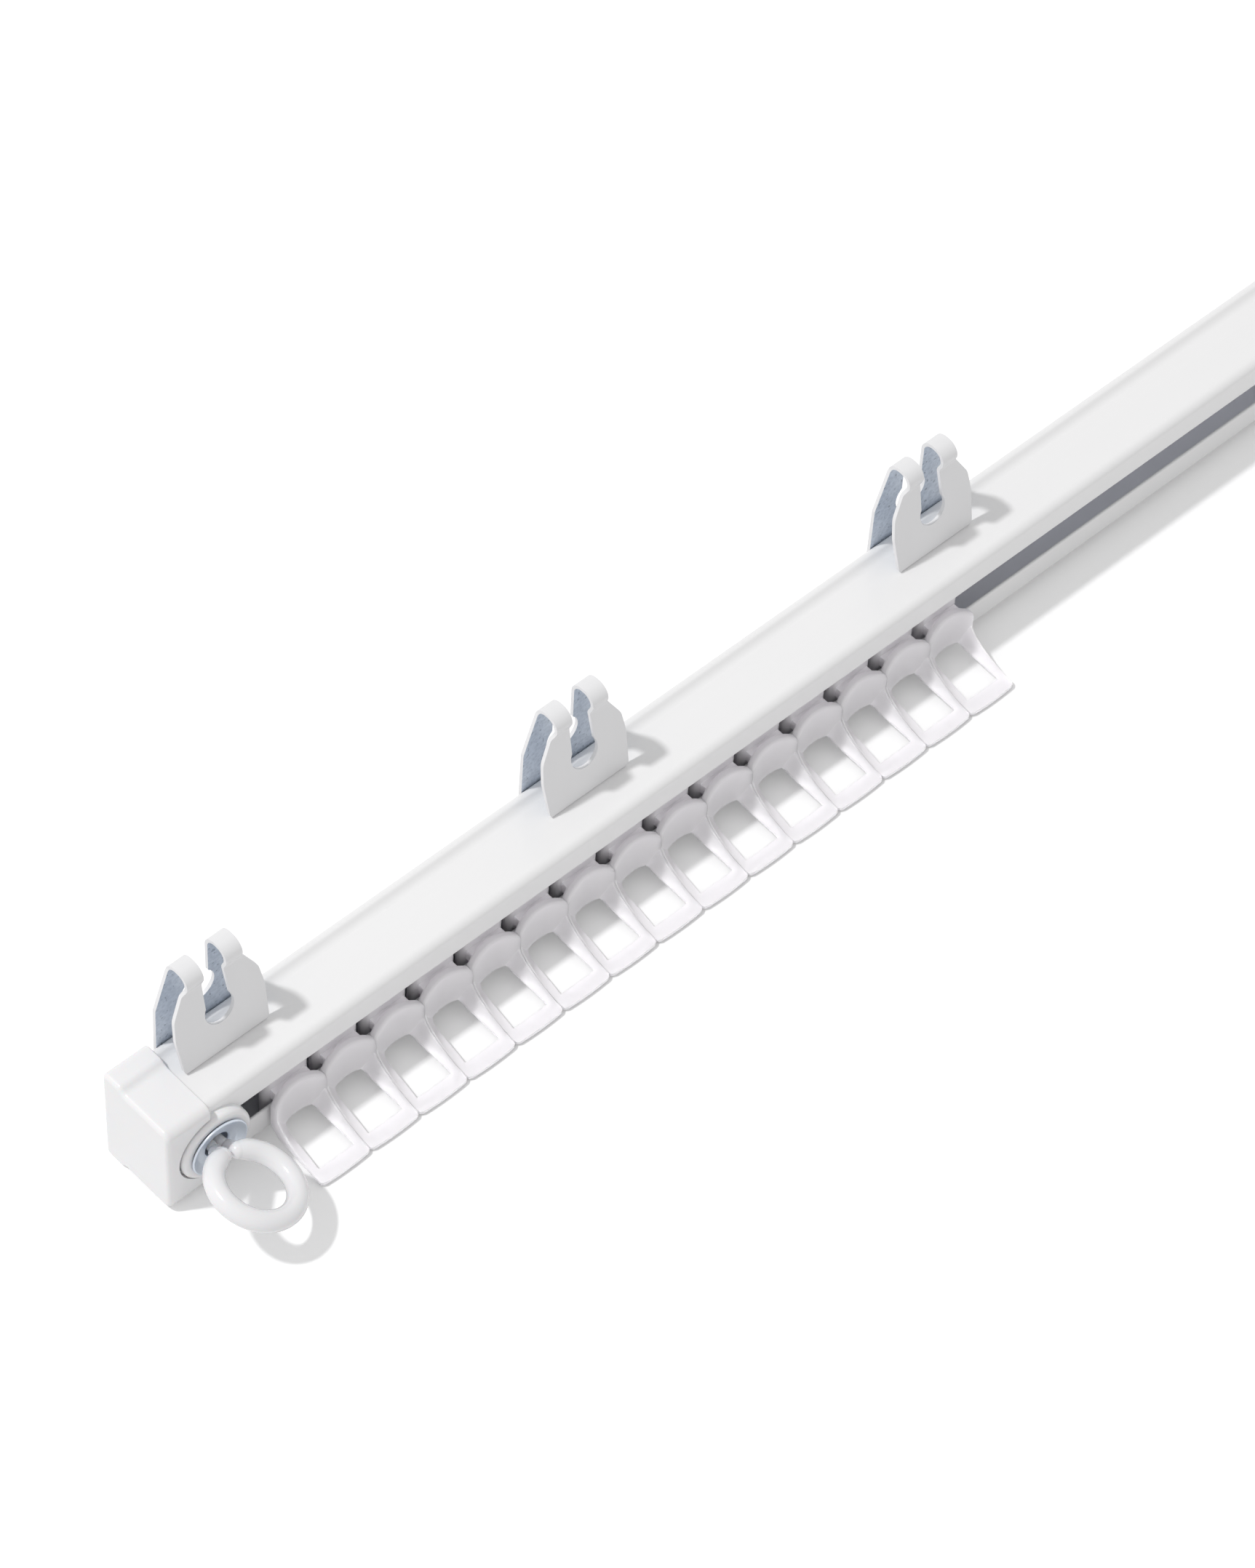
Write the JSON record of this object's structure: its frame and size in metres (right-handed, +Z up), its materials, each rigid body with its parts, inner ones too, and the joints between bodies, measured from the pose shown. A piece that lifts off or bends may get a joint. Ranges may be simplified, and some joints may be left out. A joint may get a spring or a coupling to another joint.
{
  "type": "curtain track",
  "caption": "White C-section curtain track with end caps, cord eyes, hook gliders pushed to one end and spring-sheet ceiling clips.",
  "frame": {"origin": "middle of the rail's back face, the face that the ceiling clips hold", "axes": "+X along the rail towards the free end, +Y out of the back face, +Z up as the track lies on the floor"},
  "size_m": [0.4008, 0.0323, 0.0372],
  "materials": {
    "rail_paint": "gloss",
    "cap_plastic": "gloss",
    "glider_plastic": "satin, slightly translucent",
    "eye_coating": "gloss",
    "zinc": "bright zinc plate",
    "clip_steel": "satin white over zinc"
  },
  "bodies": {
    "rail": {"rail": "rail_paint", "end_cap_left": "cap_plastic", "eye_collar_left": "cap_plastic", "eyelet_left": "zinc", "eye_backing_left": "cap_plastic", "end_cap_right": "cap_plastic", "eye_collar_right": "cap_plastic", "eyelet_right": "zinc", "eye_backing_right": "cap_plastic"},
    "glider_01": {"glider_01": "glider_plastic"},
    "glider_02": {"glider_02": "glider_plastic"},
    "glider_03": {"glider_03": "glider_plastic"},
    "glider_04": {"glider_04": "glider_plastic"},
    "glider_05": {"glider_05": "glider_plastic"},
    "glider_06": {"glider_06": "glider_plastic"},
    "glider_07": {"glider_07": "glider_plastic"},
    "glider_08": {"glider_08": "glider_plastic"},
    "glider_09": {"glider_09": "glider_plastic"},
    "glider_10": {"glider_10": "glider_plastic"},
    "glider_11": {"glider_11": "glider_plastic"},
    "glider_12": {"glider_12": "glider_plastic"},
    "glider_13": {"glider_13": "glider_plastic"},
    "glider_14": {"glider_14": "glider_plastic"},
    "glider_15": {"glider_15": "glider_plastic"},
    "clip_1": {"clip_1": "clip_steel"},
    "clip_2": {"clip_2": "clip_steel"},
    "clip_3": {"clip_3": "clip_steel"},
    "eye_left": {"eye_left": "eye_coating"},
    "eye_right": {"eye_right": "eye_coating"}
  },
  "joints": [
    {"name": "glider_01_slide", "type": "slide", "parent": "rail", "child": "glider_01", "axis": [1, 0, 0], "range_m": [-0.002, 0.018]},
    {"name": "glider_02_slide", "type": "slide", "parent": "glider_01", "child": "glider_02", "axis": [1, 0, 0], "range_m": [0, 0.014]},
    {"name": "glider_03_slide", "type": "slide", "parent": "glider_02", "child": "glider_03", "axis": [1, 0, 0], "range_m": [0, 0.014]},
    {"name": "glider_04_slide", "type": "slide", "parent": "glider_03", "child": "glider_04", "axis": [1, 0, 0], "range_m": [0, 0.014]},
    {"name": "glider_05_slide", "type": "slide", "parent": "glider_04", "child": "glider_05", "axis": [1, 0, 0], "range_m": [0, 0.014]},
    {"name": "glider_06_slide", "type": "slide", "parent": "glider_05", "child": "glider_06", "axis": [1, 0, 0], "range_m": [0, 0.014]},
    {"name": "glider_07_slide", "type": "slide", "parent": "glider_06", "child": "glider_07", "axis": [1, 0, 0], "range_m": [0, 0.014]},
    {"name": "glider_08_slide", "type": "slide", "parent": "glider_07", "child": "glider_08", "axis": [1, 0, 0], "range_m": [0, 0.014]},
    {"name": "glider_09_slide", "type": "slide", "parent": "glider_08", "child": "glider_09", "axis": [1, 0, 0], "range_m": [0, 0.014]},
    {"name": "glider_10_slide", "type": "slide", "parent": "glider_09", "child": "glider_10", "axis": [1, 0, 0], "range_m": [0, 0.014]},
    {"name": "glider_11_slide", "type": "slide", "parent": "glider_10", "child": "glider_11", "axis": [1, 0, 0], "range_m": [0, 0.014]},
    {"name": "glider_12_slide", "type": "slide", "parent": "glider_11", "child": "glider_12", "axis": [1, 0, 0], "range_m": [0, 0.014]},
    {"name": "glider_13_slide", "type": "slide", "parent": "glider_12", "child": "glider_13", "axis": [1, 0, 0], "range_m": [0, 0.014]},
    {"name": "glider_14_slide", "type": "slide", "parent": "glider_13", "child": "glider_14", "axis": [1, 0, 0], "range_m": [0, 0.014]},
    {"name": "glider_15_slide", "type": "slide", "parent": "glider_14", "child": "glider_15", "axis": [1, 0, 0], "range_m": [0, 0.014]},
    {"name": "clip_1_slide", "type": "slide", "parent": "rail", "child": "clip_1", "axis": [1, 0, 0], "range_m": [-0.0006, 0.026]},
    {"name": "clip_2_slide", "type": "slide", "parent": "rail", "child": "clip_2", "axis": [1, 0, 0], "range_m": [-0.026, 0.026]},
    {"name": "clip_3_slide", "type": "slide", "parent": "rail", "child": "clip_3", "axis": [1, 0, 0], "range_m": [-0.026, 0.2]},
    {"name": "eye_left_swivel", "type": "hinge", "parent": "rail", "child": "eye_left", "pos_m": [-0.19156, -0.01445, 0], "axis": [0, 1, 0], "continuous": true},
    {"name": "eye_right_swivel", "type": "hinge", "parent": "rail", "child": "eye_right", "pos_m": [0.19156, -0.01445, 0], "axis": [0, 1, 0], "continuous": true}
  ]
}
